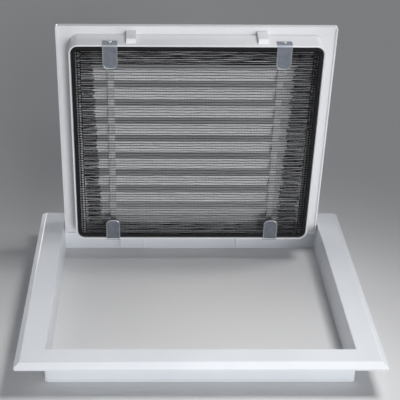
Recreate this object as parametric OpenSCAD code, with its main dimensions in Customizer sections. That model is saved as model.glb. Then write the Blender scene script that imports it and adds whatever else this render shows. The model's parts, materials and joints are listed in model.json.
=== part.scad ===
// Hinged return-air vent cover: a moulded outer frame with a neck, and a door that
// carries a louvre, a black mesh filter and the four metal clips that hold it.
// Millimetres. +Z is up, +X to the right, +Y away from the viewer. The origin is the
// centre of the neck's foot. The door stands open, as it does when the filter is changed.

/* [Frame] */
// Width of the flange, left to right
frame_w = 420; // [380:1:480]
// Depth of the flange, front to back
frame_d = 390; // [350:1:450]
// Height from the foot of the neck to the room face
frame_h = 42.5; // [42:0.5:60]
// Plan width of the sloping border
border_run = 7; // [5:0.5:10]
// Fall of the sloping border
border_drop = 5.5; // [4:0.5:7]
// Height of the upright edge under the sloping border
edge_h = 2; // [1:0.5:4]
// Width of the flat face between the border and the opening
face_w = 26; // [22:1:36]
// Thickness of the flange's skin
skin_t = 2.5; // [2:0.1:3]
// Corner radius of the flange
frame_r = 3; // [1:0.5:5]
// Chamfer along the inner edge of the flange
mouth_chamfer = 0.8; // [0.4:0.1:1.2]

/* [Neck] */
// Wall of the neck
neck_t = 3; // [2.5:0.1:3.5]
// How far each side wall of the neck leans in at the foot
neck_draft = 2; // [0:0.5:3]
// Outer corner radius of the neck
neck_r = 5; // [4:0.5:8]
// Height of the bead round the foot of the neck
bead_h = 2; // [1:0.5:4]
// How far the bead stands out of the neck
bead_out = 0.8; // [0.4:0.1:1.5]
// Thickness of the stiffening ribs under the flange
rib_t = 1.8; // [1.2:0.1:2.5]
// Largest spacing of the stiffening ribs
rib_pitch = 60; // [40:1:90]

/* [Door] */
// Gap between the door and each side of the opening
side_gap = 2; // [1.5:0.1:3]
// Gap between the door's free edge and the opening
front_gap = 3; // [2:0.1:4]
// Gap between the door's hinged edge and the opening
rear_gap = 4; // [3.5:0.1:5]
// Thickness of the door's face plate
plate_t = 5; // [4:0.1:5]
// Chamfer round the door's face
plate_chamfer = 2; // [2:0.1:2.5]
// Corner radius of the face plate
plate_r = 4; // [3:0.5:6]
// Thickness of the lip round the back of the plate
lip_t = 2; // [1.5:0.1:2.5]
// Height of the lip above the back of the plate
lip_h = 2.5; // [1.5:0.1:3]

/* [Housing] */
// Bare margin between the door's side edge and the housing
side_margin = 17; // [15:0.5:22]
// Bare margin between the door's end edges and the housing
end_margin = 12; // [11.5:0.5:16]
// Depth of the housing from the room face to its rim
housing_depth = 36; // [34:0.5:40]
// Wall of the housing
housing_t = 2.2; // [1.8:0.1:2.6]
// Outer corner radius of the housing
housing_r = 12; // [9:0.5:16]
// Radius of the outer edge of the housing's rim
rim_round = 1; // [0.9:0.1:1.3]
// Width of the face strip between the housing and each side of the grille opening
side_strip = 9.8; // [8:0.1:14]
// Width of the face strip between the housing and each end of the grille opening
end_strip = 9.6; // [6:0.1:11]
// Width of the ledge under the filter
ledge_w = 3; // [2:0.1:4]
// Thickness of the ledge under the filter
ledge_t = 2; // [1.5:0.1:3]
// Thickness of the two cheeks that hold the slats
cheek_t = 2.2; // [1.8:0.1:3]
// Height of the cheeks above the back of the plate
cheek_h = 12.5; // [12:0.5:16]

/* [Slats] */
// Width of a slat across its slope
slat_w = 25; // [22:0.5:26]
// Thickness of a slat
slat_t = 2; // [1.5:0.1:2.4]
// Slope of a slat from the room face
slat_tilt = 27; // [22:1:30]
// Depth of a slat's middle below the room face
slat_sink = 9; // [8.5:0.1:9.5]
// Distance from the front end of the grille opening to the first slat's middle
first_slat_in = 16.2; // [15:0.1:19]
// Distance from the rear end of the grille opening to the last slat's middle
last_slat_in = 13.6; // [13:0.1:17]
// How far a slat's end enters its slot in the cheek
slat_seat = 1.2; // [0.8:0.1:1.5]
// Clearance round a slat in its slot
slot_clear = 0.15; // [0.1:0.05:0.2]
// Width of each tie strip across the slats
tie_w = 8; // [6:0.5:10]
// Thickness of each tie strip
tie_t = 4; // [3:0.1:5]
// Depth of the tie strips' back face below the room face
tie_depth = 17; // [16.5:0.1:19]

/* [Filter] */
// Clearance round the filter inside the housing
filter_clear = 0.8; // [0.5:0.1:1.2]
// Width of the filter's rim
rim_w = 5; // [4.5:0.1:7]
// Thickness of the filter's rim
rim_t = 3.7; // [3:0.1:4]
// Radius of the rim's long edges
rim_r = 1.5; // [0.5:0.1:1.5]
// Gap between the filter's rim and the clips' tongues
clip_clear = 0.3; // [0.2:0.05:0.4]
// Thickness of the mesh
net_t = 1.2; // [0.8:0.1:1.6]
// Width of one ridge of the mesh
net_ridge = 2; // [1:0.1:3]
// Width of the woven edge band of the mesh
net_band = 4; // [3:0.5:8]

/* [Clips] */
// Width of a clip
clip_w = 18.5; // [16:0.5:22]
// Thickness of a clip's sheet
clip_t = 0.8; // [0.6:0.1:1]
// Length of the plate that lies on the housing's wall
clip_plate = 11; // [10.5:0.5:14]
// Length of the tongue that reaches over the filter
clip_tongue = 32; // [20:0.5:36]
// Corner radius of the tongue's tip
clip_tip_r = 7; // [4:0.5:8]
// How much tighter the clip's bend is than the edge that it goes round
bend_ease = 0.4; // [0.3:0.05:0.6]
// Distance of each clip, and of the tie strip in line with it, from the housing's side
clip_in = 51; // [40:1:63]
// Radius of the screw's shank
screw_r = 1.3; // [1.1:0.05:1.5]
// Radius of the screw's head
screw_head_r = 2.6; // [2.2:0.1:3]
// Radius of the flat on top of the screw's head
screw_top_r = 1.8; // [1.5:0.1:2.2]
// Height of the screw's head
screw_head_h = 1.6; // [1.2:0.1:2]
// Length of the screw under its head
screw_l = 6; // [5:0.1:6.5]
// Radius of the boss that takes the screw
boss_r = 2.7; // [2.5:0.1:3]
// Gap between the filter's rim and the bosses
boss_gap = 0.4; // [0.3:0.1:1]
// Depth of the boss inside the housing's wall
boss_l = 4; // [3.6:0.1:5]

/* [Hinge] */
// Distance of the hinge axis from the rear edge of the opening
hinge_in = 11; // [11:0.1:12]
// Depth of the hinge axis below the room face
hinge_drop = 9; // [8.7:0.1:9.2]
// Distance of each hinge from the side of the opening
hinge_side = 95.5; // [80:0.5:105]
// Overall width of a hinge bracket
bracket_w = 34.6; // [30:0.1:42]
// Thickness of a bracket's ear
ear_t = 2.5; // [2:0.1:3.5]
// Thickness of the pad between the ears
pad_t = 1.5; // [1:0.1:2]
// Radius of the hinge barrel
barrel_r = 3; // [2.8:0.1:3.2]
// Width of an ear's neck under the barrel
ear_neck = 3.2; // [3:0.1:3.6]
// Radius of the hinge pin
pin_r = 1.5; // [1.2:0.05:1.6]
// Radial clearance of the pin in the door's knuckle
pin_clear = 0.05; // [0.02:0.01:0.08]
// Gap between the knuckle and each ear
knuckle_gap = 0.5; // [0.3:0.1:1]
// How far the lower ribs of the bracket stand out of the wall
bracket_rib = 3.5; // [2.5:0.1:5]
// Height of the bracket's foot above the neck's foot
bracket_foot = 2.5; // [2.2:0.1:5]
// Distance from the hinge axis down to the top of the bracket's arm
arm_drop = 8.5; // [8.3:0.1:9]
// Thickness of the bracket's arm
arm_t = 3; // [2.5:0.1:5]

/* [Catch] */
// Distance of each catch from the side of the opening
catch_side = 96; // [80:0.5:105]
// Width of a catch lug on the housing
lug_w = 12; // [8:0.5:16]
// How far a lug stands out of the housing
lug_out = 5; // [3:0.1:6]
// Depth of the lug's lower end below the room face
lug_depth = 28; // [24:0.5:32]
// Running gap between a lug and the bar of its catch
catch_gap = 1.2; // [1.2:0.1:1.6]
// Gap between the closed door's lip and the catch's ears
stop_gap = 0.5; // [0.3:0.1:1]
// Depth of the catch bar's top below the room face
bar_depth = 12; // [10:0.5:16]
// Height of the catch bar
bar_h = 4; // [3:0.5:6]
// Thickness of the catch bar
bar_t = 2.5; // [2:0.1:3]

/* [Pose] */
// Angle at which the door stands open
open_deg = 81; // [0:1:95]

/* [Hidden] */
$fn = 64;
// Overrun of a cut past the face it goes through
cut = 1;
slat_count = 10;
net_columns = 12;
net_rows = 10;

plastic = "#eceef2";
black = "#202124";
metal = "#8f98a3";
steel = "#a9adb2";

// frame
flange_h = border_drop + edge_h;
open_w = frame_w - 2 * (border_run + face_w);
open_d = frame_d - 2 * (border_run + face_w);
wall_y = open_d / 2;
neck_w = open_w + 2 * neck_t;
neck_d = open_d + 2 * neck_t;

// door, placed shut: its room face is flush with the flange's
door_w = open_w - 2 * side_gap;
door_y0 = -wall_y + front_gap;
door_y1 = wall_y - rear_gap;
door_d = door_y1 - door_y0;
door_mid = (door_y0 + door_y1) / 2;
plate_back = frame_h - plate_t;

// housing on the back of the door
housing_w = door_w - 2 * side_margin;
housing_d = door_d - 2 * end_margin;
housing_rim = frame_h - housing_depth;
bay_w = housing_w - 2 * housing_t;
bay_d = housing_d - 2 * housing_t;
bay_r = housing_r - housing_t;
grille_w = bay_w - 2 * side_strip;
grille_d = bay_d - 2 * end_strip;
grille_y0 = door_mid - grille_d / 2;
slat_pitch = (grille_d - first_slat_in - last_slat_in) / (slat_count - 1);

// filter
filter_w = bay_w - 2 * filter_clear;
filter_d = bay_d - 2 * filter_clear;
filter_r = bay_r - filter_clear;
rim_back = housing_rim + clip_clear;
ledge_back = rim_back + rim_t;
mesh_w = filter_w - 2 * rim_w;
mesh_d = filter_d - 2 * rim_w;
mesh_r = filter_r - rim_w;

// clips and their screws
clip_x = housing_w / 2 - clip_in;
clip_bend = rim_round - bend_ease;
screw_down = clip_clear + rim_t + boss_gap + boss_r;

// hinge and catch
hinge_x = open_w / 2 - hinge_side;
catch_x = open_w / 2 - catch_side;
hinge_y = wall_y - hinge_in;
hinge_z = frame_h - hinge_drop;
ear_mid = (bracket_w - ear_t) / 2;
knuckle_w = bracket_w - 2 * ear_t - 2 * knuckle_gap;
arm_top = hinge_z - arm_drop;
lug_face = door_mid - housing_d / 2 - lug_out;
bar_face = lug_face - catch_gap;

// A rectangle with round corners, centred
module round_rect(w, d, r) {
    square([w - 2 * r, d], center = true);
    square([w, d - 2 * r], center = true);
    for (x = [-1, 1], y = [-1, 1])
        translate([x * (w / 2 - r), y * (d / 2 - r)])
            circle(r);
}

// A block whose top edge slopes all round, its foot at z = 0
module sloped_block(w, d, h, run, drop, r) {
    difference() {
        linear_extrude(h) round_rect(w, d, r);
        for (side = [0, 180]) {
            rotate([0, 0, side]) slope_cut(w, d, h, run, drop);
            rotate([0, 0, side + 90]) slope_cut(d, w, h, run, drop);
        }
    }
}

// The wedge taken off one edge of a block that is w wide across X
module slope_cut(w, d, h, run, drop) {
    rotate([90, 0, 0])
        linear_extrude(d + 2 * cut, center = true)
            polygon([
                [w / 2 - run, h],
                [w / 2 + run, h - 2 * drop],
                [w / 2 + run, h + drop],
                [w / 2 - run, h + drop]
            ]);
}

// An upright sleeve whose two side walls lean in towards the foot
module leaning_block(w, d, r, h, lean) {
    intersection() {
        linear_extrude(h) round_rect(w, d, r);
        rotate([90, 0, 0])
            linear_extrude(d + 2 * cut, center = true)
                polygon([
                    [-w / 2 + lean, 0],
                    [w / 2 - lean, 0],
                    [w / 2, h],
                    [-w / 2, h]
                ]);
    }
}

// Profile across Y and Z, extruded along X and centred on x
module along_x(x, w) {
    translate([x - w / 2, 0, 0])
        rotate([90, 0, 90])
            linear_extrude(w)
                children();
}

// Shares a length into equal spaces no longer than the pitch
function share(len, pitch) = ceil(len / pitch);

// The frame

module frame() {
    color(plastic) {
        difference() {
            union() {
                flange();
                neck();
            }
            throat();
            mouth_edge();
        }
        flange_ribs();
        for (side = [-1, 1]) {
            hinge_bracket(side * hinge_x);
            catch_bracket(side * catch_x);
        }
    }
}

module flange_block() {
    translate([0, 0, frame_h - flange_h])
        sloped_block(frame_w, frame_d, flange_h, border_run, border_drop, frame_r);
}

module flange() {
    difference() {
        flange_block();
        translate([0, 0, frame_h - flange_h - skin_t])
            sloped_block(
                frame_w - 2 * skin_t, frame_d - 2 * skin_t, flange_h,
                border_run, border_drop, frame_r
            );
    }
}

module neck() {
    leaning_block(neck_w, neck_d, neck_r, frame_h, neck_draft);
    leaning_block(
        neck_w - 2 * neck_draft + 2 * bead_out, neck_d + 2 * bead_out,
        neck_r, bead_h, 0
    );
}

// The opening, with its side walls leaning in towards the foot
module throat() {
    foot = open_w / 2 - neck_draft;
    rotate([90, 0, 0])
        linear_extrude(open_d, center = true)
            polygon([
                [-foot, -cut],
                [foot, -cut],
                [foot, 0],
                [open_w / 2, frame_h],
                [open_w / 2, frame_h + cut],
                [-open_w / 2, frame_h + cut],
                [-open_w / 2, frame_h],
                [-foot, 0]
            ]);
}

module mouth_edge() {
    intersection() {
        mouth_slopes(open_w, frame_d);
        rotate([0, 0, 90]) mouth_slopes(open_d, frame_w);
    }
}

// The chamfers on two facing edges of the opening, which is w wide
module mouth_slopes(w, len) {
    top = w / 2 + mouth_chamfer + cut;
    low = w / 2 - cut;
    rotate([90, 0, 0])
        linear_extrude(len, center = true)
            polygon([
                [-low, frame_h - mouth_chamfer - cut],
                [low, frame_h - mouth_chamfer - cut],
                [top, frame_h + cut],
                [-top, frame_h + cut]
            ]);
}

module flange_ribs() {
    rib_h = flange_h - skin_t / 2 - edge_h / 2;
    reach = border_run + face_w - neck_t;
    nx = share(open_w, rib_pitch);
    ny = share(open_d, rib_pitch);
    intersection() {
        flange_block();
        for (s = [-1, 1]) {
            for (i = [0 : nx])
                translate([-open_w / 2 + i * open_w / nx, s * (neck_d + reach) / 2, 0])
                    flange_rib(rib_t, reach, rib_h);
            for (i = [0 : ny])
                translate([s * (neck_w + reach) / 2, -open_d / 2 + i * open_d / ny, 0])
                    flange_rib(reach, rib_t, rib_h);
        }
    }
}

module flange_rib(x, y, h) {
    translate([0, 0, frame_h - skin_t / 2 - h / 2])
        cube([x, y, h], center = true);
}

// A pad on the rear wall with an ear at each end that carries the hinge pin
module hinge_bracket(x) {
    along_x(x, bracket_w)
        polygon([
            [wall_y + neck_t / 2, bracket_foot],
            [wall_y - pad_t, bracket_foot],
            [wall_y - pad_t, arm_top],
            [wall_y + neck_t / 2, arm_top]
        ]);
    difference() {
        for (s = [-1, 1])
            along_x(x + s * ear_mid, ear_t)
                hinge_ear();
        along_x(x, bracket_w + 2 * cut)
            translate([hinge_y, hinge_z])
                circle(pin_r);
    }
}

module hinge_ear() {
    neck_back = hinge_y - barrel_r + ear_neck;
    polygon([
        [wall_y + neck_t / 2, bracket_foot],
        [wall_y - bracket_rib, bracket_foot],
        [wall_y - bracket_rib, arm_top - arm_t - bracket_rib],
        [hinge_y - barrel_r, arm_top - arm_t],
        [hinge_y - barrel_r, hinge_z],
        [neck_back, hinge_z],
        [neck_back, arm_top],
        [wall_y + neck_t / 2, arm_top - pad_t]
    ]);
    translate([hinge_y, hinge_z])
        circle(barrel_r);
}

// A pad on the front wall with two ears that stop the door and a bar that grips its lug
module catch_bracket(x) {
    ear_top = plate_back - lip_h - stop_gap;
    bar_top = frame_h - bar_depth;
    along_x(x, bracket_w)
        polygon([
            [-wall_y - neck_t / 2, bracket_foot],
            [-wall_y + pad_t, bracket_foot],
            [-wall_y + pad_t, bar_top],
            [-wall_y - neck_t / 2, bar_top]
        ]);
    for (s = [-1, 1])
        along_x(x + s * ear_mid, ear_t)
            polygon([
                [-wall_y - neck_t / 2, bracket_foot],
                [-wall_y + bracket_rib, bracket_foot],
                [bar_face, bar_top - bar_h - bar_t],
                [bar_face, ear_top - bar_t],
                [bar_face - bar_t, ear_top],
                [-wall_y - neck_t / 2, ear_top]
            ]);
    along_x(x, bracket_w)
        polygon([
            [bar_face - bar_t, bar_top - bar_h],
            [bar_face, bar_top - bar_h],
            [bar_face, bar_top - mouth_chamfer],
            [bar_face - mouth_chamfer, bar_top],
            [bar_face - bar_t, bar_top]
        ]);
}

module hinge_pin(x) {
    color(steel)
        translate([x - bracket_w / 2, hinge_y, hinge_z])
            rotate([0, 90, 0])
                cylinder(r = pin_r, h = bracket_w);
}

// The door, built shut and swung open by swing()

module swing() {
    translate([0, hinge_y, hinge_z])
        rotate([-open_deg, 0, 0])
            translate([0, -hinge_y, -hinge_z])
                children();
}

module door() {
    color(plastic)
        swing()
            difference() {
                union() {
                    door_plate();
                    housing();
                    cheeks();
                    for (s = [-1, 1]) {
                        catch_lug(s * catch_x);
                        knuckle(s * hinge_x);
                    }
                }
                grille_opening();
                slat_slots();
                screw_places() screw_hole();
                for (s = [-1, 1])
                    knuckle_bore(s * hinge_x);
            }
}

module door_plate() {
    translate([0, door_mid, plate_back])
        sloped_block(door_w, door_d, plate_t, plate_chamfer, plate_chamfer, plate_r);
    translate([0, door_mid, plate_back - lip_h])
        linear_extrude(lip_h)
            difference() {
                round_rect(door_w, door_d, plate_r);
                round_rect(door_w - 2 * lip_t, door_d - 2 * lip_t, plate_r - lip_t);
            }
}

module housing() {
    translate([0, door_mid, housing_rim])
        sweep_round(housing_w, housing_d, housing_r)
            housing_wall();
    translate([0, door_mid, ledge_back])
        linear_extrude(ledge_t)
            difference() {
                round_rect(bay_w + housing_t, bay_d + housing_t, bay_r + housing_t / 2);
                round_rect(bay_w - 2 * ledge_w, bay_d - 2 * ledge_w, bay_r - ledge_w);
            }
    screw_places() screw_boss();
}

// Section of the housing's wall, from its rim up, with the outer face at x = 0
module housing_wall() {
    wall_h = plate_back - housing_rim;
    translate([-housing_t, 0])
        square([housing_t - rim_round, wall_h]);
    translate([-housing_t, rim_round])
        square([housing_t, wall_h - rim_round]);
    translate([-rim_round, rim_round])
        circle(rim_round);
}

module cheeks() {
    for (s = [-1, 1])
        translate([
            s * (grille_w + cheek_t) / 2,
            door_mid,
            plate_back - cheek_h / 2
        ])
            cube([cheek_t, bay_d + housing_t, cheek_h], center = true);
}

module grille_opening() {
    translate([-grille_w / 2, grille_y0, plate_back - cut])
        cube([grille_w, grille_d, plate_t + 2 * cut]);
}

module catch_lug(x) {
    lug_top = plate_back + plate_t / 2;
    lug_foot = frame_h - lug_depth;
    along_x(x, lug_w)
        polygon([
            [lug_face + lug_out + housing_t / 2, lug_foot - lug_out / 2],
            [lug_face + lug_out, lug_foot - lug_out / 2],
            [lug_face, lug_foot],
            [lug_face, lug_top],
            [lug_face + lug_out + housing_t / 2, lug_top]
        ]);
}

module knuckle(x) {
    along_x(x, knuckle_w) {
        translate([hinge_y, hinge_z])
            circle(barrel_r);
        translate([hinge_y - barrel_r, hinge_z])
            square([2 * barrel_r, plate_back - hinge_z + plate_t / 2]);
    }
}

module knuckle_bore(x) {
    along_x(x, knuckle_w + 2 * cut)
        translate([hinge_y, hinge_z])
            circle(pin_r + pin_clear);
}

// The slats

// Middle of slat number i, counted from the door's free edge
function slat_y(i) = grille_y0 + first_slat_in + (i - 1) * slat_pitch;

module slat_profile(grow) {
    rotate(slat_tilt) {
        square([slat_w - slat_t, slat_t + 2 * grow], center = true);
        for (s = [-1, 1])
            translate([s * (slat_w - slat_t) / 2, 0])
                circle(slat_t / 2 + grow, $fn = 32);
    }
}

module slat_bar(i, len, grow) {
    along_x(0, len)
        translate([slat_y(i), frame_h - slat_sink])
            slat_profile(grow);
}

module slat(i) {
    color(plastic)
        swing()
            slat_bar(i, grille_w + 2 * slat_seat, 0);
}

module slat_slots() {
    for (i = [1 : slat_count])
        slat_bar(i, grille_w + 2 * slat_seat + 2 * slot_clear, slot_clear);
}

// A strip across the back of the slats, notched to sit on them
module tie_strip(x) {
    color(plastic)
        swing()
            difference() {
                translate([x - tie_w / 2, grille_y0, frame_h - tie_depth])
                    cube([tie_w, grille_d, tie_t]);
                for (i = [1 : slat_count])
                    slat_bar(i, grille_w, slot_clear);
            }
}

// The filter

// Sweeps a profile, its x outwards, round a rectangle with corner radius r at its origin
module sweep_round(w, d, r) {
    for (side = [0, 1]) {
        mirror([side, 0, 0])
            translate([w / 2, 0, 0])
                rotate([90, 0, 0])
                    linear_extrude(d - 2 * r, center = true)
                        children();
        mirror([0, side, 0])
            translate([0, d / 2, 0])
                rotate([90, 0, 90])
                    linear_extrude(w - 2 * r, center = true)
                        children();
    }
    for (x = [0, 1], y = [0, 1])
        mirror([x, 0, 0])
            mirror([0, y, 0])
                translate([w / 2 - r, d / 2 - r, 0])
                    rotate_extrude(angle = 90)
                        translate([r, 0])
                            children();
}

module filter_rim() {
    color(black)
        swing()
            translate([0, door_mid, rim_back + rim_t / 2])
                sweep_round(filter_w - rim_w, filter_d - rim_w, filter_r - rim_w / 2)
                    round_rect(rim_w, rim_t, rim_r);
}

// One thin wall with ridges along both ways and a gap in each space between them
module filter_mesh() {
    pitch_x = (mesh_w - 2 * net_band) / net_columns;
    pitch_y = (mesh_d - 2 * net_band) / net_rows;
    gap_x = pitch_x - net_ridge;
    gap_y = pitch_y - net_ridge;
    color(black)
        swing()
            translate([0, door_mid, rim_back + rim_t / 2 - net_t / 2])
                difference() {
                    linear_extrude(net_t)
                        round_rect(mesh_w, mesh_d, mesh_r);
                    for (i = [0 : net_columns - 1], j = [0 : net_rows - 1])
                        translate([
                            (i - (net_columns - 1) / 2) * pitch_x - gap_x / 2,
                            (j - (net_rows - 1) / 2) * pitch_y - gap_y / 2,
                            -cut
                        ])
                            cube([gap_x, gap_y, net_t + 2 * cut]);
                }
}

// The clips

// Puts its children at the clips: side is -1 left or 1 right, end is -1 front or 1 rear
module at_clip(side, end) {
    translate([side * clip_x, door_mid + end * housing_d / 2, housing_rim])
        rotate([0, 0, end < 0 ? 0 : 180])
            children();
}

module screw_places() {
    for (side = [-1, 1], end = [-1, 1])
        at_clip(side, end)
            translate([0, 0, screw_down])
                rotate([90, 0, 0])
                    children();
}

module clip(side, end) {
    color(metal)
        swing()
            at_clip(side, end)
                difference() {
                    intersection() {
                        along_x(0, clip_w)
                            clip_profile();
                        clip_outline();
                    }
                    translate([0, cut, screw_down])
                        rotate([90, 0, 0])
                            cylinder(r = screw_r, h = clip_t + 2 * cut);
                }
}

// Side view of the bent sheet: plate up the wall, bend, tongue over the filter
module clip_profile() {
    outer = clip_bend + clip_t;
    translate([-clip_t, clip_bend])
        square([clip_t, clip_plate - clip_bend]);
    translate([clip_bend, -clip_t])
        square([clip_tongue - clip_bend, clip_t]);
    difference() {
        translate([clip_bend, clip_bend])
            intersection() {
                circle(outer);
                translate([-outer, -outer])
                    square(outer);
            }
        translate([clip_bend, clip_bend])
            circle(clip_bend);
    }
}

// Plan of the clip: round corners at the tongue's tip, square where the sheet bends
module clip_outline() {
    reach = clip_tongue + clip_t + 2 * clip_tip_r;
    translate([0, clip_tongue - reach / 2, -clip_t - cut])
        linear_extrude(clip_plate + clip_t + 2 * cut)
            round_rect(clip_w, reach, clip_tip_r);
}

module screw_boss() {
    translate([0, 0, -housing_t - boss_l])
        cylinder(r = boss_r, h = boss_l + housing_t / 2);
}

module screw_hole() {
    translate([0, 0, -screw_l - cut / 2])
        cylinder(r = screw_r, h = screw_l + cut);
}

module clip_screws() {
    color(steel)
        swing()
            screw_places()
                translate([0, 0, clip_t]) {
                    translate([0, 0, -screw_l])
                        cylinder(r = screw_r, h = screw_l);
                    cylinder(r1 = screw_head_r, r2 = screw_top_r, h = screw_head_h);
                }
}

frame();
door();
slat(1);  // slat_1
slat(2);  // slat_2
slat(3);  // slat_3
slat(4);  // slat_4
slat(5);  // slat_5
slat(6);  // slat_6
slat(7);  // slat_7
slat(8);  // slat_8
slat(9);  // slat_9
slat(10);  // slat_10
tie_strip(-clip_x);  // tie_strip_left
tie_strip(clip_x);  // tie_strip_right
filter_rim();
filter_mesh();
clip(-1, -1);  // clip_front_left
clip(1, -1);  // clip_front_right
clip(-1, 1);  // clip_rear_left
clip(1, 1);  // clip_rear_right
clip_screws();
hinge_pin(-hinge_x);  // hinge_pin_left
hinge_pin(hinge_x);  // hinge_pin_right
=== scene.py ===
"""The looks of a hinged return-air vent cover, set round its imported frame.

Lengths are metres. The door stands open at rest. What is made for the door is made in
the door's shut place and then swung open about the hinge, as the frame's own door is.
"""

import json
import math
from collections import namedtuple

import bmesh
import bpy
from mathutils import Matrix, Vector


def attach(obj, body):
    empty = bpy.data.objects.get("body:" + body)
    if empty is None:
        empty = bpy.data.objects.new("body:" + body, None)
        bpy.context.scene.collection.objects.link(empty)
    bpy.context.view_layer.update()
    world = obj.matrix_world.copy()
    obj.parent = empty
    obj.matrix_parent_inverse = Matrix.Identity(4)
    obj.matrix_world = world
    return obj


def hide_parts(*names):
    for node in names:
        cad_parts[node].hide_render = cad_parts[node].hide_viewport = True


MM = 0.001

# The photograph's camera: place, aim in degrees, lens in millimetres, and framing
CAMERA_AT = (-0.0619, -1.2103, 0.7292)
CAMERA_DOWN = 26.66
CAMERA_YAW = 1.17
CAMERA_ROLL = 0.62
CAMERA_LENS = 98.64
CAMERA_SENSOR = 36.0
CAMERA_SHIFT = (0.0839, 0.0568)

# Yarns of the filter's net: distance apart, radius and number of sides. Weft runs left to
# right, warp up and down, and the selvage's yarn both ways.
Yarn = namedtuple("Yarn", "pitch radius sides")
WEFT = Yarn(3.8 * MM, 0.46 * MM, 4)
WARP = Yarn(1.9 * MM, 0.10 * MM, 3)
SIDE_HEM_WEFT = Yarn(2.5 * MM, 0.64 * MM, 4)
# The free end's hem weft is thicker than the hinge end's, partly as painted shade where the
# housing's shadow falls on the first slat.
FREE_END_WEFT_AND_SHADE = Yarn(2.5 * MM, 0.78 * MM, 4)
HINGE_END_WEFT = Yarn(2.5 * MM, 0.64 * MM, 4)
SELVAGE = Yarn(3.7 * MM, 0.55 * MM, 5)

# How the threads lie: sway in the net's plane, rise over and under each other, distance
# between the points of a thread, and the noise that sways them
NET_WAVE = 2.8 * MM
NET_WEAVE = 0.2 * MM
THREAD_STEP = 2.2 * MM
LEAST_POINTS = 6
SWAY_CELLS = 34.0
SWAY_STRETCH = 6.0
RAGGED_SEED = 7

# The net's parts. Left is -1 and right is 1; the free end is -1 and the hinge's end is 1.
NET_UNDER_RIM = 1.5 * MM
SIDE_HEM_WIDTHS = {-1: 18.0 * MM, 1: 25.0 * MM}
SIDE_HEM_SHORT = 4 * MM
SIDE_HEM_TURN = math.radians(1.6)
SIDE_HEM_RAGGED = 0.24
END_HEM_WIDTH = 20.0 * MM
END_HEM_WEFTS = {-1: FREE_END_WEFT_AND_SHADE, 1: HINGE_END_WEFT}
HEM_LIFT = 0.8 * MM
SELVAGE_WIDTH = 8.0 * MM
SELVAGE_SHORT = 3 * MM
WEFT_SEED = 1.0
WARP_SEED = 2.0
SIDE_HEM_SEED = 3.0
END_HEM_SEED = 9.0
SELVAGE_SEED = 15.0

# Rounding of moulded edges: height of the edges with the door shut, and radius, both in
# millimetres
FRAME_EDGES = ((42.5, 0.8), (41.7, 0.3), (37.0, 0.7))
DOOR_EDGES = ((42.5, 0.5), (40.5, 0.5), (35.0, 0.4), (6.5, 0.6))
LEVEL_SLACK = 0.06 * MM
EDGE_STEPS = 3
LEAST_EDGE = 1.0 * MM
SHARP_ANGLE = math.radians(24)
MERGE_WITHIN = 0.001 * MM
FLAT_WITHIN = math.radians(0.3)
LEAST_SIDE = 0.0005 * MM

# Soft lights: name, place, aim, size, power, colour and spread in degrees
LAMPS = (
    ("top", (0.45, -0.1, 1.15), (0.02, -0.25, 0.0), 0.4, 1.05, (1.0, 0.995, 0.985), 52),
    ("main", (1.9, -7.2, 2.8), (0.0, 0.05, 0.12), 1.2, 30, (1.0, 0.995, 0.985), 180),
    ("low_right", (1.7, -7.2, 0.85), (0.0, 0.1, 0.2), 1.6, 230, (0.97, 0.98, 1.0), 180),
    ("key_right", (5.0, -5.1, 1.1), (0.0, 0.05, 0.12), 1.4, 60, (1.0, 0.99, 0.97), 180),
    ("rear", (-2.5, 6.8, 1.1), (0.0, 0.15, 0.15), 1.6, 150, (0.97, 0.98, 1.0), 180),
)
WORLD_COLOUR = (0.93, 0.95, 1.0)
WORLD_STRENGTH = 0.15
WALL_COLOUR = (0.66, 0.67, 0.68)
FLOOR_HALF = 9.0

# Raised bead round the clips' tongues, in paler steel as a painted highlight
BEAD_MARGIN = 0.2 * MM
BEAD_HALF = 0.5 * MM
BEAD_RISE = 0.4 * MM
FACING_DOWN = -0.99

# Screws of the clips. The dome starts at a share of the head's height, and its flat top
# has a share of the head's radius.
SCREW_HEAD_R = 2.6 * MM
SCREW_HEAD_H = 1.6 * MM
SCREW_DOME_START = 0.35
SCREW_FLAT_TOP = 0.28
SCREW_RINGS = 7
SCREW_SIDES = 32
SCREW_SLOT_W = 0.7 * MM
SCREW_SLOT_L = 2.9 * MM
SCREW_SLOT_D = 0.9 * MM

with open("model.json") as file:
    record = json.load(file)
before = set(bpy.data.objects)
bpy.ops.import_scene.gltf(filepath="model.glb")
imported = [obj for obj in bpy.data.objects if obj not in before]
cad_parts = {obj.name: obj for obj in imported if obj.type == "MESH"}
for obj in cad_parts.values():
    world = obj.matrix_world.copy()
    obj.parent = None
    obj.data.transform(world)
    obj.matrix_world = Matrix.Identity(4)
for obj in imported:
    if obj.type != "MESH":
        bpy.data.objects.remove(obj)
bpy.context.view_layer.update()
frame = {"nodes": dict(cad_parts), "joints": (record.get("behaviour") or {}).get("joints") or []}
nodes = frame["nodes"]
hinge = frame["joints"][0]
OPEN_ANGLE = math.radians(hinge["range_deg"][1])
CLIPS = sorted(n for n in nodes if n.startswith("clip_") and n != "clip_screws")


def swing_matrix():
    """Takes a place on the shut door to its place on the open door."""
    axis_at = Matrix.Translation(hinge["pos_m"])
    turn = Matrix.Rotation(-OPEN_ANGLE, 4, Vector(hinge["axis"]))
    return axis_at @ turn @ axis_at.inverted()


SWING = swing_matrix()


def shut_box(name):
    """Lowest and highest corner of one of the door's nodes, with the door shut."""
    back = SWING.inverted()
    points = [back @ v.co for v in nodes[name].data.vertices]
    low = Vector([min(p[i] for p in points) for i in range(3)])
    high = Vector([max(p[i] for p in points) for i in range(3)])
    return low, high


# Materials

# Where along a noise a number and a colour start and stop to change
NOISE_RANGE = (0.3, 0.7)
RAMP_ENDS = (0.32, 0.68)


def new_material(name):
    """An empty material with its shader, and its node tree."""
    made = bpy.data.materials.new(name)
    made.use_nodes = True
    tree = made.node_tree
    shader = tree.nodes["Principled BSDF"]
    return made, tree, shader


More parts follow.
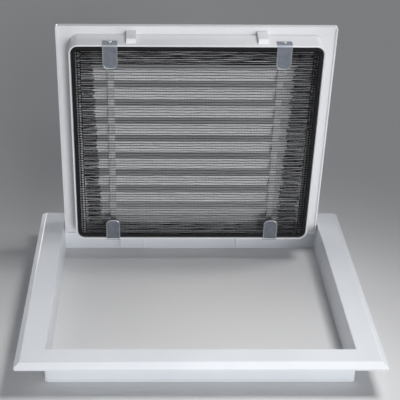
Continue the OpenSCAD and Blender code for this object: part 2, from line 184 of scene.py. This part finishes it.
def object_noise(tree, scale, detail=2.0, stretch=(1, 1, 1)):
    """Noise that stays on the piece, scale in cells to the metre."""
    where = tree.nodes.new("ShaderNodeTexCoord")
    place = tree.nodes.new("ShaderNodeMapping")
    place.inputs["Scale"].default_value = stretch
    noise = tree.nodes.new("ShaderNodeTexNoise")
    noise.inputs["Scale"].default_value = scale
    noise.inputs["Detail"].default_value = detail
    tree.links.new(where.outputs["Object"], place.inputs["Vector"])
    tree.links.new(place.outputs["Vector"], noise.inputs["Vector"])
    return noise.outputs["Fac"]


def between(tree, factor, low, high):
    """A number that follows a factor from low to high."""
    ranged = tree.nodes.new("ShaderNodeMapRange")
    ranged.inputs["From Min"].default_value = NOISE_RANGE[0]
    ranged.inputs["From Max"].default_value = NOISE_RANGE[1]
    ranged.inputs["To Min"].default_value = low
    ranged.inputs["To Max"].default_value = high
    tree.links.new(factor, ranged.inputs["Value"])
    return ranged.outputs["Result"]


def colour_between(tree, factor, low, high):
    """A colour that follows a factor from low to high."""
    ramp = tree.nodes.new("ShaderNodeValToRGB")
    for element, position, colour in zip(ramp.color_ramp.elements, RAMP_ENDS, (low, high)):
        element.position = position
        element.color = (*colour, 1)
    tree.links.new(factor, ramp.inputs["Fac"])
    return ramp.outputs["Color"]


def add_bump(tree, shader, height, distance, below=None):
    """A bump of that depth in metres, on top of another one where given."""
    bump = tree.nodes.new("ShaderNodeBump")
    bump.inputs["Distance"].default_value = distance
    tree.links.new(height, bump.inputs["Height"])
    if below is not None:
        tree.links.new(below, bump.inputs["Normal"])
    tree.links.new(bump.outputs["Normal"], shader.inputs["Normal"])
    return bump.outputs["Normal"]


def white_plastic(name, low, high, rough):
    """Moulded white plastic: faint tone changes, satin grain and slight waves."""
    made, tree, shader = new_material(name)
    tone = object_noise(tree, scale=9, detail=3)
    tree.links.new(colour_between(tree, tone, low, high), shader.inputs["Base Color"])
    sheen = object_noise(tree, scale=60, detail=4)
    roughness = between(tree, sheen, low=rough - 0.05, high=rough + 0.06)
    tree.links.new(roughness, shader.inputs["Roughness"])
    wave = object_noise(tree, scale=22, detail=1)
    waved = add_bump(tree, shader, wave, distance=0.35 * MM)
    grain = object_noise(tree, scale=1400, detail=2)
    add_bump(tree, shader, grain, distance=0.012 * MM, below=waved)
    shader.inputs["IOR"].default_value = 1.52
    shader.inputs["Specular IOR Level"].default_value = 0.5
    return made


def black_plastic(name):
    """Black moulded plastic with a fine grain and a little dust."""
    made, tree, shader = new_material(name)
    dust = object_noise(tree, scale=420, detail=5)
    colour = colour_between(tree, dust, low=(0.005, 0.005, 0.006), high=(0.015, 0.015, 0.016))
    tree.links.new(colour, shader.inputs["Base Color"])
    roughness = between(tree, dust, low=0.45, high=0.62)
    tree.links.new(roughness, shader.inputs["Roughness"])
    grain = object_noise(tree, scale=1800, detail=2)
    add_bump(tree, shader, grain, distance=0.02 * MM)
    shader.inputs["Specular IOR Level"].default_value = 0.15
    return made


def net_thread(name):
    """Black synthetic yarn: twisted, a little shiny, and dusty in places."""
    made, tree, shader = new_material(name)
    dust = object_noise(tree, scale=160, detail=4)
    colour = colour_between(tree, dust, low=(0.004, 0.004, 0.005), high=(0.016, 0.015, 0.016))
    tree.links.new(colour, shader.inputs["Base Color"])
    roughness = between(tree, dust, low=0.5, high=0.7)
    tree.links.new(roughness, shader.inputs["Roughness"])
    twist = object_noise(tree, scale=3000, detail=1)
    add_bump(tree, shader, twist, distance=0.03 * MM)
    shader.inputs["Specular IOR Level"].default_value = 0.12
    return made


def plated_steel(name, low, high, rough):
    """Plated sheet steel: rolling grain, cloudy plating and fine scratches."""
    made, tree, shader = new_material(name)
    cloud = object_noise(tree, scale=150, detail=4)
    tree.links.new(colour_between(tree, cloud, low, high), shader.inputs["Base Color"])
    grain = object_noise(tree, scale=700, detail=3, stretch=(1, 0.06, 0.06))
    roughness = between(tree, grain, low=rough - 0.06, high=rough + 0.08)
    tree.links.new(roughness, shader.inputs["Roughness"])
    add_bump(tree, shader, grain, distance=0.03 * MM)
    shader.inputs["Metallic"].default_value = 1.0
    shader.inputs["Anisotropic"].default_value = 0.3
    return made


def pale_floor(name):
    """Plain pale studio floor."""
    made, tree, shader = new_material(name)
    tone = object_noise(tree, scale=1.3, detail=2)
    colour = colour_between(tree, tone, low=(0.745, 0.745, 0.75), high=(0.775, 0.775, 0.78))
    tree.links.new(colour, shader.inputs["Base Color"])
    shader.inputs["Roughness"].default_value = 0.9
    shader.inputs["Specular IOR Level"].default_value = 0.05
    return made


FRAME_WHITE = white_plastic("frame_white", (0.775, 0.80, 0.84), (0.815, 0.84, 0.88), 0.36)
DOOR_WHITE = white_plastic("door_white", (0.80, 0.805, 0.825), (0.84, 0.845, 0.86), 0.36)
SLAT_WHITE = white_plastic("slat_white", (0.80, 0.81, 0.82), (0.85, 0.855, 0.86), 0.42)
# The tie strips are painted a darker grey than the slats' white: painted shade.
TIE_PAINTED_SHADE = white_plastic("tie_painted_shade", (0.61, 0.62, 0.63), (0.66, 0.67, 0.68), 0.45)
RIM_BLACK = black_plastic("rim_black")
NET_BLACK = net_thread("net_black")
CLIP_STEEL = plated_steel("clip_steel", (0.235, 0.262, 0.305), (0.295, 0.322, 0.365), 0.38)
# Paler steel for the tongues' edges and beads: a painted highlight along their outline.
CLIP_EDGE_HIGHLIGHT = plated_steel("clip_edge_painted_highlight", (0.58, 0.60, 0.63), (0.72, 0.73, 0.75), 0.34)
SCREW_STEEL = plated_steel("screw_steel", (0.50, 0.50, 0.51), (0.62, 0.62, 0.62), 0.3)
FLOOR_PALE = pale_floor("floor_pale")


# Building with Geometry Nodes


class Nodes:
    """A Geometry Nodes tree with named inputs, built step by step."""

    def __init__(self, name, **inputs):
        self.tree = bpy.data.node_groups.new(name, "GeometryNodeTree")
        self.tree.interface.new_socket(
            "Geometry", in_out="INPUT", socket_type="NodeSocketGeometry"
        )
        self.sockets = {}
        for key, kind in inputs.items():
            self.sockets[key] = self.tree.interface.new_socket(
                key.replace("_", " "), in_out="INPUT", socket_type="NodeSocket" + kind
            )
        self.tree.interface.new_socket(
            "Geometry", in_out="OUTPUT", socket_type="NodeSocketGeometry"
        )
        self.start = self.tree.nodes.new("NodeGroupInput")
        self.end = self.tree.nodes.new("NodeGroupOutput")

    def given(self, key):
        """The value that an input is given."""
        return self.start.outputs[key.replace("_", " ")]

    def put(self, kind, settings=None, **values):
        """Adds a node; values go to its inputs by name, links or plain values."""
        made = self.tree.nodes.new(kind)
        for key, value in (settings or {}).items():
            setattr(made, key, value)
        for key, value in values.items():
            socket = made.inputs[key.replace("_", " ")]
            self.feed(value, socket)
        return made

    def feed(self, value, socket):
        """Links a socket's value into another, or sets it where it is plain."""
        if isinstance(value, bpy.types.NodeSocket):
            self.tree.links.new(value, socket)
        else:
            socket.default_value = value

    def calc(self, operation, *values):
        """The result of a Math node."""
        made = self.tree.nodes.new("ShaderNodeMath")
        made.operation = operation
        for value, socket in zip(values, made.inputs):
            self.feed(value, socket)
        return made.outputs["Value"]

    def vector(self, x=0.0, y=0.0, z=0.0):
        """A vector from three numbers."""
        return self.put("ShaderNodeCombineXYZ", X=x, Y=y, Z=z).outputs["Vector"]

    def finish(self, geometry, material):
        """Ends the tree in real geometry with its material."""
        real = self.put("GeometryNodeRealizeInstances", Geometry=geometry)
        coloured = self.put("GeometryNodeSetMaterial", Geometry=real.outputs["Geometry"])
        coloured.inputs["Material"].default_value = material
        self.tree.links.new(coloured.outputs["Geometry"], self.end.inputs["Geometry"])


def run_nodes(name, steps, values, start_mesh=None):
    """Runs a tree on a mesh with these input values, and returns the plain mesh object."""
    holder = bpy.data.objects.new(name + "_start", start_mesh or bpy.data.meshes.new(name))
    bpy.context.scene.collection.objects.link(holder)
    modifier = holder.modifiers.new("nodes", "NODES")
    modifier.node_group = steps.tree
    for key, value in values.items():
        modifier[steps.sockets[key].identifier] = value
    bpy.context.view_layer.update()
    evaluated = holder.evaluated_get(bpy.context.evaluated_depsgraph_get())
    mesh = bpy.data.meshes.new_from_object(evaluated)
    holder.modifiers.remove(modifier)
    bpy.data.objects.remove(holder)
    mesh.name = name
    made = bpy.data.objects.new(name, mesh)
    bpy.context.scene.collection.objects.link(made)
    return made


def thread_steps(name, across):
    """A tree that lays parallel wavy threads: across runs them along X, else along Y."""
    steps = Nodes(
        name, Length="Float", Spread="Float", Count="Int", Pitch="Float",
        Other_Pitch="Float", Points="Int", Radius="Float", Sides="Int", Wave="Float",
        Weave="Float", Seed="Float", Ragged="Float",
    )
    half = steps.calc("MULTIPLY", steps.given("Length"), 0.5)
    back = steps.calc("MULTIPLY", half, -1.0)
    first = steps.calc("MULTIPLY", steps.given("Spread"), -0.5)
    ends = (steps.vector(x=back), steps.vector(x=half))
    starts, stride = steps.vector(y=first), steps.vector(y=steps.given("Pitch"))
    if not across:
        ends = (steps.vector(y=back), steps.vector(y=half))
        starts, stride = steps.vector(x=first), steps.vector(x=steps.given("Pitch"))
    line = steps.put("GeometryNodeCurvePrimitiveLine", Start=ends[0], End=ends[1])
    fine = steps.put(
        "GeometryNodeResampleCurve", Curve=line.outputs["Curve"], Count=steps.given("Points")
    )
    rows = steps.put(
        "GeometryNodeMeshLine", Count=steps.given("Count"), Offset=stride
    )
    steps.tree.links.new(starts, rows.inputs["Start Location"])
    uneven = steps.put("FunctionNodeRandomValue", {"data_type": "FLOAT"})
    steps.feed(steps.calc("SUBTRACT", 1.0, steps.given("Ragged")), uneven.inputs[2])
    steps.feed(steps.calc("ADD", 1.0, steps.given("Ragged")), uneven.inputs[3])
    uneven.inputs["Seed"].default_value = RAGGED_SEED
    length = steps.vector(x=uneven.outputs[1], y=1.0, z=1.0)
    if not across:
        length = steps.vector(x=1.0, y=uneven.outputs[1], z=1.0)
    copies = steps.put(
        "GeometryNodeInstanceOnPoints",
        Points=rows.outputs["Mesh"], Instance=fine.outputs["Curve"], Scale=length,
    )
    real = steps.put("GeometryNodeRealizeInstances", Geometry=copies.outputs["Instances"])
    place = steps.put("GeometryNodeInputPosition").outputs["Position"]
    split = steps.put("ShaderNodeSeparateXYZ", Vector=place)
    pitch_x, pitch_y = steps.given("Other_Pitch"), steps.given("Pitch")
    if not across:
        pitch_x, pitch_y = pitch_y, pitch_x
    turn_x = steps.calc("MULTIPLY", steps.calc("DIVIDE", split.outputs["X"], pitch_x), math.pi)
    turn_y = steps.calc("MULTIPLY", steps.calc("DIVIDE", split.outputs["Y"], pitch_y), math.pi)
    over = steps.calc("MULTIPLY", steps.calc("COSINE", turn_x), steps.calc("COSINE", turn_y))
    rise = steps.calc("MULTIPLY", over, steps.given("Weave"))
    stretch = (1.0, SWAY_STRETCH, 1.0) if across else (SWAY_STRETCH, 1.0, 1.0)
    apart = steps.put("ShaderNodeVectorMath", {"operation": "MULTIPLY"}, Vector=place)
    apart.inputs[1].default_value = stretch
    noise = steps.put(
        "ShaderNodeTexNoise", {"noise_dimensions": "4D"},
        Vector=apart.outputs["Vector"], W=steps.given("Seed"), Scale=SWAY_CELLS, Detail=2.0,
    )
    sway = steps.calc(
        "MULTIPLY", steps.calc("SUBTRACT", noise.outputs["Fac"], 0.5), steps.given("Wave")
    )
    shift = steps.vector(y=sway, z=rise) if across else steps.vector(x=sway, z=rise)
    laid = steps.put("GeometryNodeSetPosition", Geometry=real.outputs["Geometry"], Offset=shift)
    round_yarn = steps.put(
        "GeometryNodeCurvePrimitiveCircle",
        Resolution=steps.given("Sides"), Radius=steps.given("Radius"),
    )
    tube = steps.put(
        "GeometryNodeCurveToMesh",
        Curve=laid.outputs["Geometry"], Profile_Curve=round_yarn.outputs["Curve"],
    )
    steps.feed(True, tube.inputs["Fill Caps"])
    steps.finish(tube.outputs["Mesh"], NET_BLACK)
    return steps


def threads(name, across, centre, size, yarn, crossed, seed, ragged=0.0):
    """Parallel threads over a patch, in the door's shut place, woven with a crossed yarn."""
    length, spread = size if across else (size[1], size[0])
    count = int(spread / yarn.pitch) + 1
    values = {
        "Length": length, "Spread": (count - 1) * yarn.pitch, "Count": count,
        "Pitch": yarn.pitch, "Other_Pitch": crossed.pitch, "Radius": yarn.radius,
        "Sides": yarn.sides, "Points": max(LEAST_POINTS, int(length / THREAD_STEP)),
        "Wave": NET_WAVE if across else NET_WAVE / 2,
        "Weave": NET_WEAVE if across else -NET_WEAVE, "Seed": seed, "Ragged": ragged,
    }
    made = run_nodes(name, thread_steps(name, across), values)
    made.data.transform(Matrix.Translation(centre))
    return made


def net_patch(name, centre, size, weft, warp, seed, turn=0.0, ragged=0.0):
    """Weft and warp over one patch, turned a little in its plane where given."""
    made = join(name, [
        threads("weft", True, centre, size, weft, warp, seed, ragged),
        threads("warp", False, centre, size, warp, weft, seed + 1),
    ])
    made.data.transform(
        Matrix.Translation(centre) @ Matrix.Rotation(turn, 4, "Z") @ Matrix.Translation(-centre)
    )
    return made


def join(name, pieces):
    """Makes one piece of several."""
    base = bmesh.new()
    for piece in pieces:
        base.from_mesh(piece.data)
    mesh = bpy.data.meshes.new(name)
    base.to_mesh(mesh)
    base.free()
    for material in pieces[0].data.materials:
        mesh.materials.append(material)
    for piece in pieces:
        bpy.data.objects.remove(piece)
    made = bpy.data.objects.new(name, mesh)
    bpy.context.scene.collection.objects.link(made)
    return made


def smooth(piece):
    """Shades a piece smooth."""
    for polygon in piece.data.polygons:
        polygon.use_smooth = True


def swing_open(piece):
    """Takes a piece from the door's shut place to where the open door has it."""
    piece.data.transform(SWING)


def wear_net(piece):
    """Puts a finished part of the net in the place of the frame's mesh."""
    smooth(piece)
    swing_open(piece)
    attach(piece, "door_body")
    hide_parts("filter_mesh")


def filter_net():
    """The net inside the filter's rim, a second layer along its edges, and its selvage."""
    low, high = shut_box("filter_mesh")
    centre = (low + high) / 2
    size_x = high.x - low.x + 2 * NET_UNDER_RIM
    size_y = high.y - low.y + 2 * NET_UNDER_RIM
    open_size = (size_x - 2 * SELVAGE_WIDTH, size_y)
    wear_net(threads("net_weft", True, centre, open_size, WEFT, WARP, WEFT_SEED))
    wear_net(threads("net_warp", False, centre, open_size, WARP, WEFT, WARP_SEED))
    lift = Vector((0, 0, HEM_LIFT))
    hems = []
    selvages = []
    for side in (-1, 1):
        width = SIDE_HEM_WIDTHS[side]
        from_middle = size_x / 2 - SELVAGE_WIDTH - width / 2
        hems.append(net_patch(
            "hem", centre + lift + Vector((side * from_middle, 0, 0)),
            (width, size_y - SIDE_HEM_SHORT), SIDE_HEM_WEFT, WARP, SIDE_HEM_SEED + side,
            turn=side * SIDE_HEM_TURN, ragged=SIDE_HEM_RAGGED,
        ))
        # The free end's hem is woven thicker, partly as painted shade.
        from_middle = (size_y - END_HEM_WIDTH) / 2
        hems.append(net_patch(
            "hem", centre + lift + Vector((0, side * from_middle, 0)),
            (size_x - 2 * SELVAGE_WIDTH, END_HEM_WIDTH), END_HEM_WEFTS[side], WARP,
            END_HEM_SEED + side,
        ))
        from_middle = (size_x - SELVAGE_WIDTH) / 2
        selvages.append(net_patch(
            "selvage", centre - lift + Vector((side * from_middle, 0, 0)),
            (SELVAGE_WIDTH, size_y - SELVAGE_SHORT), SELVAGE, SELVAGE, SELVAGE_SEED + side,
        ))
    wear_net(join("net_hem", hems))
    wear_net(join("net_selvage", selvages))


# Screws


def screw_head():
    """A pan head with a cross recess, its seat at the origin and its top along +Z."""
    base = bmesh.new()
    previous = None
    for ring in range(SCREW_RINGS):
        lean = ring / (SCREW_RINGS - 1) * math.pi / 2
        radius = SCREW_HEAD_R * (SCREW_FLAT_TOP + (1 - SCREW_FLAT_TOP) * math.cos(lean))
        height = SCREW_HEAD_H * (SCREW_DOME_START + (1 - SCREW_DOME_START) * math.sin(lean))
        row = []
        for i in range(SCREW_SIDES):
            angle = 2 * math.pi * i / SCREW_SIDES
            row.append(base.verts.new(
                (radius * math.cos(angle), radius * math.sin(angle), height)
            ))
        if previous is None:
            foot = [base.verts.new((v.co.x, v.co.y, 0)) for v in row]
            base.faces.new(list(reversed(foot)))
            previous = foot
        for i in range(SCREW_SIDES):
            j = (i + 1) % SCREW_SIDES
            base.faces.new((previous[i], previous[j], row[j], row[i]))
        previous = row
    base.faces.new(previous)
    mesh = bpy.data.meshes.new("screw_head")
    base.to_mesh(mesh)
    base.free()
    head = bpy.data.objects.new("screw_head", mesh)
    bpy.context.scene.collection.objects.link(head)
    for turned in (0, 1):
        cut_slot(head, turned)
    return head


def cut_slot(head, turned):
    """Cuts one bar of the cross recess."""
    base = bmesh.new()
    bmesh.ops.create_cube(base, size=1.0)
    size = (SCREW_SLOT_L, SCREW_SLOT_W, SCREW_SLOT_D * 2)
    bmesh.ops.scale(base, vec=size, verts=base.verts)
    bmesh.ops.rotate(
        base, matrix=Matrix.Rotation(turned * math.pi / 2, 3, "Z"), verts=base.verts
    )
    bmesh.ops.translate(base, vec=(0, 0, SCREW_HEAD_H), verts=base.verts)
    mesh = bpy.data.meshes.new("slot")
    base.to_mesh(mesh)
    base.free()
    bar = bpy.data.objects.new("slot", mesh)
    bpy.context.scene.collection.objects.link(bar)
    cutter = head.modifiers.new("slot", "BOOLEAN")
    cutter.operation = "DIFFERENCE"
    cutter.object = bar
    bpy.context.view_layer.update()
    evaluated = head.evaluated_get(bpy.context.evaluated_depsgraph_get())
    result = bpy.data.meshes.new_from_object(evaluated)
    head.modifiers.remove(cutter)
    head.data = result
    bpy.data.objects.remove(bar)


def screw_steps():
    """A tree that sets a screw's head on each point, along the point's way out."""
    steps = Nodes("screws", Head="Object")
    head = steps.put("GeometryNodeObjectInfo", Object=steps.given("Head"))
    way = steps.put("GeometryNodeInputNamedAttribute", {"data_type": "FLOAT_VECTOR"}, Name="out")
    turn = steps.put(
        "FunctionNodeAlignRotationToVector", {"axis": "Z"}, Vector=way.outputs["Attribute"]
    )
    copies = steps.put(
        "GeometryNodeInstanceOnPoints", Points=steps.given("Geometry"),
        Instance=head.outputs["Geometry"], Rotation=turn.outputs["Rotation"],
    )
    steps.finish(copies.outputs["Instances"], SCREW_STEEL)
    return steps


def clip_screws():
    """The four clips' screws, one on the plate of each clip."""
    low, high = shut_box("clip_screws")
    height = (low.z + high.z) / 2
    points = []
    ways = []
    for name in CLIPS:
        low, high = shut_box(name)
        end = -1 if "front" in name else 1
        face = low.y if end < 0 else high.y
        points.append(((low.x + high.x) / 2, face, height))
        ways.append((0, end, 0))
    mesh = bpy.data.meshes.new("screw_places")
    mesh.from_pydata(points, [], [])
    attribute = mesh.attributes.new("out", "FLOAT_VECTOR", "POINT")
    for value, way in zip(attribute.data, ways):
        value.vector = way
    head = screw_head()
    made = run_nodes("screw_heads", screw_steps(), {"Head": head}, mesh)
    bpy.data.objects.remove(head)
    swing_open(made)
    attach(made, "door_body")
    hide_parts("clip_screws")


# Mouldings with rounded edges, and clips with a bead


def merged_copy(name, shut):
    """A node's mesh with doubles merged and flat faces whole, swung shut where asked."""
    base = bmesh.new()
    base.from_mesh(nodes[name].data)
    if shut:
        bmesh.ops.transform(base, matrix=SWING.inverted(), verts=base.verts)
    bmesh.ops.remove_doubles(base, verts=base.verts, dist=MERGE_WITHIN)
    bmesh.ops.dissolve_limit(
        base, angle_limit=FLAT_WITHIN, verts=base.verts, edges=base.edges
    )
    bmesh.ops.recalc_face_normals(base, faces=base.faces)
    base.normal_update()
    return base


def outer_edges(base, height):
    """The sharp outward edges that lie at a height."""
    found = []
    for edge in base.edges:
        level = all(abs(v.co.z - height) < LEVEL_SLACK for v in edge.verts)
        if not level or edge.calc_length() < LEAST_EDGE:
            continue
        if edge.calc_face_angle_signed(0.0) > SHARP_ANGLE:
            found.append(edge)
    return found


def round_edges(base, edges, radius):
    """Rounds edges, and shades only the new round faces smooth."""
    rounded = bmesh.ops.bevel(
        base, geom=edges, offset=radius, offset_type="OFFSET", affect="EDGES",
        segments=EDGE_STEPS, profile=0.5, clamp_overlap=False, loop_slide=True,
    )
    for face in rounded["faces"]:
        face.smooth = True


def take_place(base, name, new_name, body, finish, shut):
    """Makes a finished copy the piece that stands for a node."""
    bmesh.ops.triangulate(base, faces=base.faces)
    bmesh.ops.dissolve_degenerate(base, edges=base.edges, dist=LEAST_SIDE)
    bmesh.ops.triangulate(base, faces=base.faces)
    mesh = bpy.data.meshes.new(new_name)
    base.to_mesh(mesh)
    base.free()
    for material in finish:
        mesh.materials.append(material)
    made = bpy.data.objects.new(new_name, mesh)
    bpy.context.scene.collection.objects.link(made)
    if shut:
        swing_open(made)
    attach(made, body)
    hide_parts(name)


def mouldings():
    """The frame and the door, with their edges rounded."""
    base = merged_copy("frame", False)
    for height, radius in FRAME_EDGES:
        round_edges(base, outer_edges(base, height * MM), radius * MM)
    take_place(
        base, "frame", "frame_moulding", "frame_body", (FRAME_WHITE,), False
    )
    base = merged_copy("door", True)
    for height, radius in DOOR_EDGES:
        round_edges(base, outer_edges(base, height * MM), radius * MM)
    take_place(
        base, "door", "door_moulding", "door_body", (DOOR_WHITE,), True
    )


def beaded_clips():
    """The clips, with a low bead pressed round each tongue; the tongue's edge and the bead take
    paler steel as a painted highlight.
    """
    for name in CLIPS:
        base = merged_copy(name, True)
        below = [face for face in base.faces if face.normal.z < FACING_DOWN]
        tongue = max(below, key=lambda face: face.calc_area())
        for width, rise in ((BEAD_MARGIN, 0), (BEAD_HALF, BEAD_RISE), (BEAD_HALF, -BEAD_RISE)):
            ring = bmesh.ops.inset_individual(
                base, faces=[tongue], thickness=width, depth=rise, use_even_offset=True
            )
            # Each ring takes the paler steel, a painted highlight.
            for face in ring["faces"]:
                face.material_index = 1
        finish = (CLIP_STEEL, CLIP_EDGE_HIGHLIGHT)
        take_place(base, name, "bent_" + name, "door_body", finish, True)


# The frame's own pieces


def dress(name, material):
    """Gives a node of the frame its material."""
    data = nodes[name].data
    data.materials.clear()
    data.materials.append(material)


def dress_all():
    """Gives materials to the nodes that are shown as the frame has them."""
    dress("filter_rim", RIM_BLACK)
    for name in nodes:
        if name.startswith("slat_"):
            dress(name, SLAT_WHITE)
        elif name.startswith("tie_strip_"):
            dress(name, TIE_PAINTED_SHADE)
        elif name.startswith("hinge_pin_"):
            dress(name, SCREW_STEEL)


# Studio


def soft_box(name, at, aim, size, power, colour, spread):
    """A square soft light at a place, turned to what it lights."""
    data = bpy.data.lights.new(name, "AREA")
    data.size = size
    data.energy = power
    data.color = colour
    data.spread = math.radians(spread)
    light = bpy.data.objects.new(name, data)
    light.location = at
    light.rotation_mode = "QUATERNION"
    light.rotation_quaternion = (Vector(aim) - Vector(at)).to_track_quat("-Z", "Y")
    bpy.context.scene.collection.objects.link(light)


def pale_room():
    """A dim world whose walls look pale to the eye, to metal and through clear things."""
    world = bpy.data.worlds.new("studio")
    world.use_nodes = True
    tree = world.node_tree
    dim = tree.nodes["Background"]
    dim.inputs["Color"].default_value = (*WORLD_COLOUR, 1)
    dim.inputs["Strength"].default_value = WORLD_STRENGTH
    pale = tree.nodes.new("ShaderNodeBackground")
    pale.inputs["Color"].default_value = (*WALL_COLOUR, 1)
    pale.inputs["Strength"].default_value = 1.0
    rays = tree.nodes.new("ShaderNodeLightPath")
    seen = rays.outputs["Is Camera Ray"]
    for kind in ("Is Glossy Ray", "Is Transmission Ray"):
        either = tree.nodes.new("ShaderNodeMath")
        either.operation = "MAXIMUM"
        tree.links.new(seen, either.inputs[0])
        tree.links.new(rays.outputs[kind], either.inputs[1])
        seen = either.outputs["Value"]
    choice = tree.nodes.new("ShaderNodeMixShader")
    tree.links.new(seen, choice.inputs["Fac"])
    tree.links.new(dim.outputs["Background"], choice.inputs[1])
    tree.links.new(pale.outputs["Background"], choice.inputs[2])
    tree.links.new(choice.outputs["Shader"], tree.nodes["World Output"].inputs["Surface"])
    return world


def studio():
    """The floor, the world and the lights."""
    base = bmesh.new()
    bmesh.ops.create_grid(base, x_segments=1, y_segments=1, size=FLOOR_HALF)
    mesh = bpy.data.meshes.new("floor")
    base.to_mesh(mesh)
    base.free()
    floor = bpy.data.objects.new("floor", mesh)
    bpy.context.scene.collection.objects.link(floor)
    mesh.materials.append(FLOOR_PALE)
    bpy.context.scene.world = pale_room()
    for light in LAMPS:
        soft_box(*light)


def camera():
    """The camera that took the photograph, and the picture's plain view."""
    down, yaw, roll = (math.radians(a) for a in (CAMERA_DOWN, CAMERA_YAW, CAMERA_ROLL))
    ahead = Vector((
        math.sin(yaw) * math.cos(down), math.cos(yaw) * math.cos(down), -math.sin(down)
    ))
    level = Vector((math.cos(yaw), -math.sin(yaw), 0))
    upright = level.cross(ahead)
    right = level * math.cos(roll) + upright * math.sin(roll)
    up = upright * math.cos(roll) - level * math.sin(roll)
    data = bpy.data.cameras.new("camera")
    data.sensor_width = CAMERA_SENSOR
    data.lens = CAMERA_LENS
    data.shift_x, data.shift_y = CAMERA_SHIFT
    eye = bpy.data.objects.new("camera", data)
    turn = Matrix((right, up, -ahead)).transposed().to_4x4()
    eye.matrix_world = Matrix.Translation(CAMERA_AT) @ turn
    bpy.context.scene.collection.objects.link(eye)
    bpy.context.scene.camera = eye
    bpy.context.scene.view_settings.view_transform = "Standard"


dress_all()
mouldings()
beaded_clips()
filter_net()
clip_screws()
studio()
camera()
